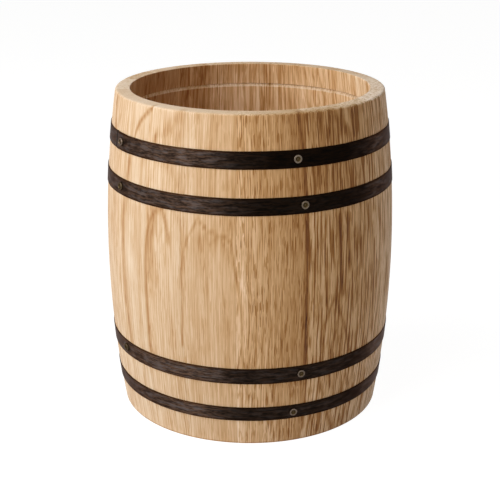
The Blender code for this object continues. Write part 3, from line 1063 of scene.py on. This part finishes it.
def make_rivets(hoop, brass):
    for number in range(1, RIVETS_ON_A_HOOP + 1):
        node = f"{hoop.name}_rivet_{number}"
        azimuth = middle_azimuth(node)
        layers = STRIP_THICKNESS
        if number == LAP_RIVETS[hoop.name]:
            layers += STRIP_GAP + STRIP_THICKNESS
        seat = place(strip_radius(hoop, hoop.middle) + layers, azimuth, hoop.middle)
        outwards = place(1.0, azimuth, -strip_slope(hoop))
        matrix = Matrix.Translation(seat) @ outwards.to_track_quat("Z", "Y").to_matrix().to_4x4()
        sections = []
        share = []
        for radius, height in rivet_outline():
            azimuths = [FULL_TURN * i / RIVET_SIDES for i in range(RIVET_SIDES)]
            sections.append([matrix @ place(radius, turn, height) for turn in azimuths])
            share += [radius / RIVET_HEAD_RADIUS if height > 0 else 1.0] * RIVET_SIDES
        corners, faces = skinned(sections)
        # One rivet's crest is lighter as a painted highlight
        shine = PAINTED_HIGHLIGHT_RIVETS.get(node, at_stops(SHINE, azimuth) * SHINE_BY_HOOP[hoop.number])
        attributes = {"from_middle": share, "shine": np.full(len(share), shine)}
        make_piece(f"brass_{node}", corners, faces, brass, node, attributes)


# Steel and brass

BLACK_STEEL = colour(0.0018, 0.0014, 0.0010)
BROWN_STEEL = colour(0.0075, 0.0038, 0.0019)
# Paler steel and grey rubs where the blacking is worn, which also stand for painted sheen
WORN_AND_SHEEN_DARK_STEEL = colour(0.030, 0.019, 0.014)
WORN_AND_SHEEN_STEEL = colour(0.135, 0.080, 0.054)
GREY_STEEL = colour(0.115, 0.096, 0.093)
DARK_RUST = colour(0.006, 0.0025, 0.001)
LIGHT_RUST = colour(0.055, 0.022, 0.007)
STEEL_GLANCE = colour(0.50, 0.46, 0.46)
OLIVE_BRASS = colour(0.150, 0.118, 0.090)
PINK_BRASS = colour(0.160, 0.120, 0.100)
BRASS_GLANCE = colour(0.45, 0.40, 0.36)
DARK_BRASS = colour(0.036, 0.022, 0.005)

# Noise of the features on the strip: their size along it, across it and between strips, and its detail
# and roughness
SCORE = ((0.012, 0.0012, 1.0), 3.0, 0.6)
RUB_AND_SHEEN = ((0.012, 0.0028, 1.0), 3.0, 0.6)
FLECK = ((0.004, 0.0008, 1.0), 2.0, 0.6)
SCORE_SHARE = 0.6
FLECK_SHARE = 0.4

# Ranges in which the brown scores and the grey rubs come up, the rubs being partly painted sheen, and the
# rust towards the edges
SCORE_RANGE = (0.42, 0.60)
RUB_AND_SHEEN_RANGE = (0.46, 0.66, 0.0, 0.8)
RUST_RANGE = (0.74, 0.92, 0.0, 0.9)
# Dirt and painted shade by the lap's end: how far it covers the colour, and how much gloss it takes off
DIRT_AND_SHADE_COVER = 0.9
STEEL_METALLIC = 0.97
STEEL_GLOSS = 0.5
DIRT_AND_SHADE_DULLNESS = -0.45
STEEL_ROUGHNESS = (0.35, 0.65, 0.40, 0.62)
STEEL_RELIEF = (0.0001, 0.6)

# Brass, with ranges from the middle of the rivet's head, at nought, to its edge, at one
MOTTLE = ((0.0012, 0.0012, 0.0012), 3.0, 0.6)
TINT = ((0.06, 0.06, 0.06), 2.0)
CREST_START = (0.46, 0.68)
CREST_END = (0.90, 1.0, 1.0, 0.3)
PEEN_RANGE = (0.10, 0.22, 0.35, 0.0)
MOTTLE_RANGE = (0.3, 0.6, 0.6, 1.0)
TINT_RANGE = (0.4, 0.6)
BRASS_METALLIC = 0.85
BRASS_ROUGHNESS = (0.3, 0.7, 0.16, 0.30)
BRASS_RELIEF = (0.00008, 0.5)


def make_hoop_steel():
    """Blackened strip with brown streaks along it, grey rubbed patches and rusty edges. It is paler where
    it is worn and where sheen is painted on, and has dirt and painted shade by the lap's end.
    """
    recipe = Recipe(bpy.data.materials.new("hoop_steel"))
    strip = recipe.attribute("strip", "Vector")
    wear_and_sheen = recipe.attribute("wear_and_sheen")
    gap = recipe.attribute("gap")
    streak = recipe.noise(strip, *SCORE)
    fleck = recipe.noise(strip, *FLECK)
    mixed = recipe.total(((streak, SCORE_SHARE), (fleck, FLECK_SHARE)))
    scored = recipe.spread(mixed, *SCORE_RANGE)
    black = recipe.blend(scored, BLACK_STEEL, BROWN_STEEL)
    # Where the share of wear and painted sheen is high: paler steel, grey rubs and lighter rust
    skin = recipe.blend(wear_and_sheen, black, recipe.blend(scored, WORN_AND_SHEEN_DARK_STEEL, WORN_AND_SHEEN_STEEL))
    rub_and_sheen = recipe.spread(recipe.noise(strip, *RUB_AND_SHEEN), *RUB_AND_SHEEN_RANGE)
    skin = recipe.blend(recipe.times(rub_and_sheen, wear_and_sheen), skin, GREY_STEEL)
    rusted = recipe.spread(recipe.attribute("edge"), *RUST_RANGE)
    skin = recipe.blend(rusted, skin, recipe.blend(wear_and_sheen, DARK_RUST, LIGHT_RUST))
    rough = recipe.spread(mixed, *STEEL_ROUGHNESS, False)
    return recipe.finish(
        # Dirt and painted shade by the lap's end: black, matt and not metal
        base_color=recipe.blend(recipe.times(gap, DIRT_AND_SHADE_COVER), skin, BLACK_STEEL),
        roughness=recipe.calc("MAXIMUM", rough, gap),
        metallic=recipe.total(((gap, -STEEL_METALLIC),), STEEL_METALLIC),
        specular_ior_level=recipe.total(((gap, DIRT_AND_SHADE_DULLNESS),), STEEL_GLOSS),
        specular_tint=STEEL_GLANCE,
        normal=recipe.bump(mixed, *STEEL_RELIEF),
    )


def make_rivet_brass():
    """Aged brass, rubbed on the crest and dark in the dish and round the edge."""
    recipe = Recipe(bpy.data.materials.new("rivet_brass"))
    spot = recipe.object_place()
    from_middle = recipe.attribute("from_middle")
    start = recipe.spread(from_middle, *CREST_START)
    crest = recipe.times(start, recipe.spread(from_middle, *CREST_END))
    crest = recipe.calc("MAXIMUM", crest, recipe.spread(from_middle, *PEEN_RANGE))
    crest = recipe.times(crest, recipe.attribute("shine"))
    mottle = recipe.noise(spot, *MOTTLE)
    share = recipe.times(crest, recipe.spread(mottle, *MOTTLE_RANGE))
    tint = recipe.spread(recipe.noise(spot, *TINT), *TINT_RANGE)
    return recipe.finish(
        base_color=recipe.blend(share, DARK_BRASS, recipe.blend(tint, OLIVE_BRASS, PINK_BRASS)),
        roughness=recipe.spread(mottle, *BRASS_ROUGHNESS, False),
        metallic=BRASS_METALLIC,
        specular_tint=BRASS_GLANCE,
        normal=recipe.bump(mottle, *BRASS_RELIEF),
    )


# Bottom head

def make_head():
    """The boards of the bottom head, jointed tight, and the dowels, which keep their solids."""
    boards = sorted(name for name in NODES if name.startswith("head_board_"))
    edges = [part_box(name)[end].x for name in boards for end in (0, 1)]
    inner_joints = [(right + left) / 2 for right, left in zip(edges[1::2], edges[2::2])]
    joints = [edges[0]] + inner_joints + [edges[-1]]
    for number, name in enumerate(boards, 1):
        make_head_board(name, joints[number - 1] + JOINT_GAP / 2, joints[number] - JOINT_GAP / 2, number)
    dowel_wood = make_dowel_wood()
    for name in NODES:
        if name.startswith("head_dowel_"):
            NODES[name].data.materials.clear()
            NODES[name].data.materials.append(dowel_wood)


def make_head_board(name, left, right, number):
    """A board's own solid, stretched across to its joints and with its edges eased."""
    low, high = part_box(name)
    corners = points_of(name)
    corners[:, 0] = np.interp(corners[:, 0], (low.x, high.x), (left, right))
    faces = [tuple(face.vertices) for face in NODES[name].data.polygons]
    board = make_piece(f"oak_{name}", corners, faces, make_head_oak(number), name)
    easing = board.modifiers.new("eased_edges", "BEVEL")
    easing.width = BOARD_ARRIS
    easing.segments = BOARD_ARRIS_STEPS
    easing.limit_method = "ANGLE"


# Wood of the dowels, whose fibres run along X
DOWEL_FIBRE = ((0.012, 0.0006, 0.0006), 3.0, 0.6)
DOWEL_TONE_RANGE = (0.35, 0.7)
DOWEL_ROUGHNESS = (0.3, 0.7, 0.55, 0.7)
DOWEL_RELIEF = (0.0001, 0.4)


def make_dowel_wood():
    recipe = Recipe(bpy.data.materials.new("dowel_wood"))
    fibres = recipe.noise(recipe.object_place(), *DOWEL_FIBRE)
    return recipe.finish(
        base_color=recipe.blend(recipe.spread(fibres, *DOWEL_TONE_RANGE), PALE_OAK, DEEP_OAK),
        roughness=recipe.spread(fibres, *DOWEL_ROUGHNESS, False),
        normal=recipe.bump(fibres, *DOWEL_RELIEF),
    )


# Camera, lamps and floor

def make_camera():
    """The photograph's camera, in front of the barrel and looking down at it."""
    data = bpy.data.cameras.new("camera")
    data.sensor_width = CAMERA_SENSOR
    data.lens = CAMERA_LENS
    data.clip_start = CAMERA_CLIP_START
    camera = bpy.data.objects.new("camera", data)
    camera.location = (0.0, -CAMERA_DISTANCE, CAMERA_HEIGHT)
    camera.rotation_euler = (math.radians(QUARTER_TURN - CAMERA_PITCH), 0.0, 0.0)
    bpy.context.collection.objects.link(camera)
    bpy.context.scene.camera = camera


def make_lamp(name, azimuth, elevation, distance, size, level, tint):
    """A square lamp aimed at the barrel. A white surface that faces it is as bright as its level."""
    data = bpy.data.lights.new(name, "AREA")
    data.shape = "SQUARE"
    data.size = size
    data.color = tint
    data.energy = level * math.pi ** 2 * distance ** 2
    lamp = bpy.data.objects.new(name, data)
    reach = distance * math.cos(math.radians(elevation))
    target = Vector((0.0, 0.0, MIDDLE))
    lamp.location = target + place(reach, azimuth, distance * math.sin(math.radians(elevation)))
    lamp.rotation_euler = (lamp.location - target).to_track_quat("Z", "Y").to_euler()
    bpy.context.collection.objects.link(lamp)


def seen_by_camera(recipe):
    """One for rays from the camera, off gloss and through glass, and nought for the rest."""
    path = recipe.add("ShaderNodeLightPath")
    seen = recipe.calc("MAXIMUM", path["Is Camera Ray"], path["Is Glossy Ray"])
    return recipe.calc("MAXIMUM", seen, path["Is Transmission Ray"])


def make_world():
    """White where it is seen, and a soft even light elsewhere."""
    recipe = Recipe(bpy.data.worlds.new("studio"))
    sky = colour(*(SKY_LEVEL * share for share in SKY_TINT))
    seen = recipe.blend(seen_by_camera(recipe), sky, grey(1.0))
    recipe.feed_named(recipe.nodes["Background"], color=seen, strength=1.0)
    bpy.context.scene.world = recipe.owner


def make_floor():
    """A wide pale floor. Where it is seen it glows up to white, and it keeps the barrel's shadow."""
    recipe = Recipe(bpy.data.materials.new("floor"))
    recipe.nodes.remove(recipe.nodes["Principled BSDF"])
    matt = recipe.add("ShaderNodeBsdfDiffuse", grey(FLOOR_WHITE))[0]
    shaded = recipe.add("ShaderNodeBsdfDiffuse", grey(FLOOR_SHADE))[0]
    glow = recipe.add("ShaderNodeEmission", grey(1.0), FLOOR_GLOW)[0]
    seen = recipe.add("ShaderNodeAddShader", shaded, glow)[0]
    surface = recipe.add("ShaderNodeMixShader", seen_by_camera(recipe), matt, seen)[0]
    recipe.feed(recipe.nodes["Material Output"].inputs["Surface"], surface)
    data = bpy.data.meshes.new("floor")
    half = FLOOR_SIZE / 2
    corners = [(-half, -half, 0), (half, -half, 0), (half, half, 0), (-half, half, 0)]
    data.from_pydata(corners, [], [(0, 1, 2, 3)])
    data.materials.append(recipe.owner)
    floor = bpy.data.objects.new("floor", data)
    floor.location.z = CAD_LOW.z - FLOOR_DROP
    bpy.context.collection.objects.link(floor)


def main():
    oak = make_stave_oak()
    steel = make_hoop_steel()
    brass = make_rivet_brass()
    make_staves(oak)
    for number, name in enumerate(HOOP_NAMES):
        hoop = read_hoop(name, number)
        make_hoop(hoop, steel)
        make_rivets(hoop, brass)
    make_head()
    make_floor()
    make_world()
    for lamp in LAMPS:
        make_lamp(*lamp)
    make_camera()
    bpy.context.scene.view_settings.view_transform = "Standard"


main()
